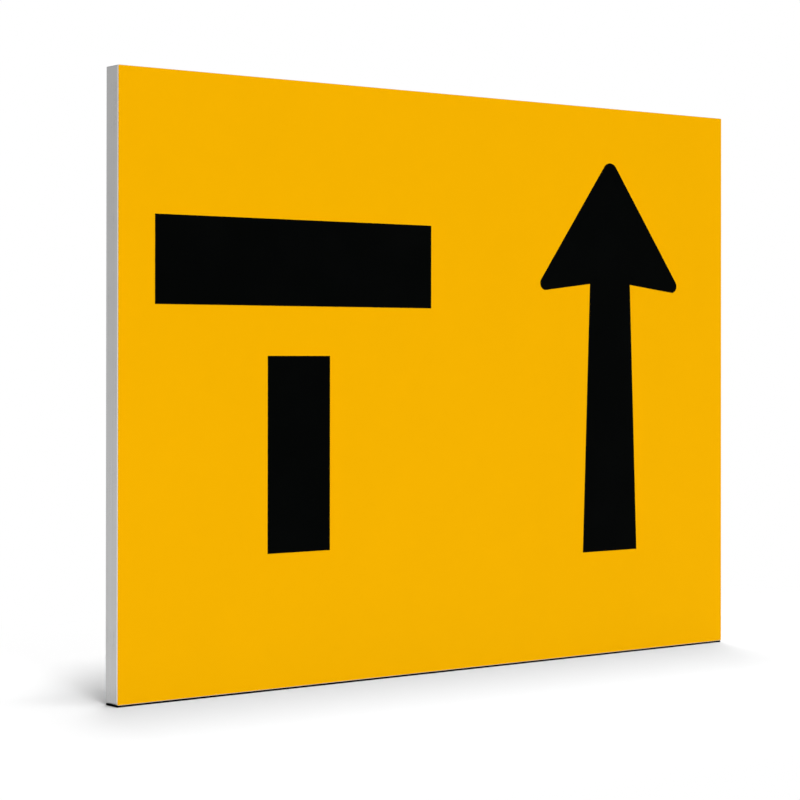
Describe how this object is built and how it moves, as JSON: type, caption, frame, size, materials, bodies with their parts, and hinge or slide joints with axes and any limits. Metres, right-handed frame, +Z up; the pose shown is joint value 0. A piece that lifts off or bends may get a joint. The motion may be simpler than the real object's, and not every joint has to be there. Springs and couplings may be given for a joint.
{
  "type": "lane status sign",
  "caption": "Flat upright road-works sign panel: yellow reflective face with a black closed-lane bar and stem and an open-lane arrow, on a mitred channel frame with slotted rear rails.",
  "frame": {"origin": "bottom centre of the bounding box, on the underside of the rubber base strip", "axes": "+Z up, +X along the width to the right of someone facing the sign, +Y from the face towards the back"},
  "size_m": [1.2, 0.0348, 0.903],
  "materials": {
    "reflective_yellow": "satin",
    "black_film": "satin",
    "sheet_aluminium": "satin",
    "channel_aluminium": "satin",
    "rail_aluminium": "satin",
    "rivet_aluminium": "satin",
    "foam_tape": "matte",
    "black_rubber": "matte"
  },
  "bodies": {
    "root": {"yellow_film": "reflective_yellow", "closed_lane_bar": "black_film", "closed_lane_stem": "black_film", "open_lane_arrow": "black_film", "face_sheet": "sheet_aluminium", "base_strip": "black_rubber", "top_edge_channel": "channel_aluminium", "right_edge_channel": "channel_aluminium", "bottom_edge_channel": "channel_aluminium", "left_edge_channel": "channel_aluminium", "top_bonding_tape": "foam_tape", "right_bonding_tape": "foam_tape", "bottom_bonding_tape": "foam_tape", "left_bonding_tape": "foam_tape", "top_left_corner_plate": "rail_aluminium", "top_right_corner_plate": "rail_aluminium", "bottom_right_corner_plate": "rail_aluminium", "bottom_left_corner_plate": "rail_aluminium", "upper_rail": "rail_aluminium", "lower_rail": "rail_aluminium", "upper_rail_tape": "foam_tape", "lower_rail_tape": "foam_tape", "corner_rivets": "rivet_aluminium", "rail_rivets": "rivet_aluminium"}
  },
  "joints": []
}
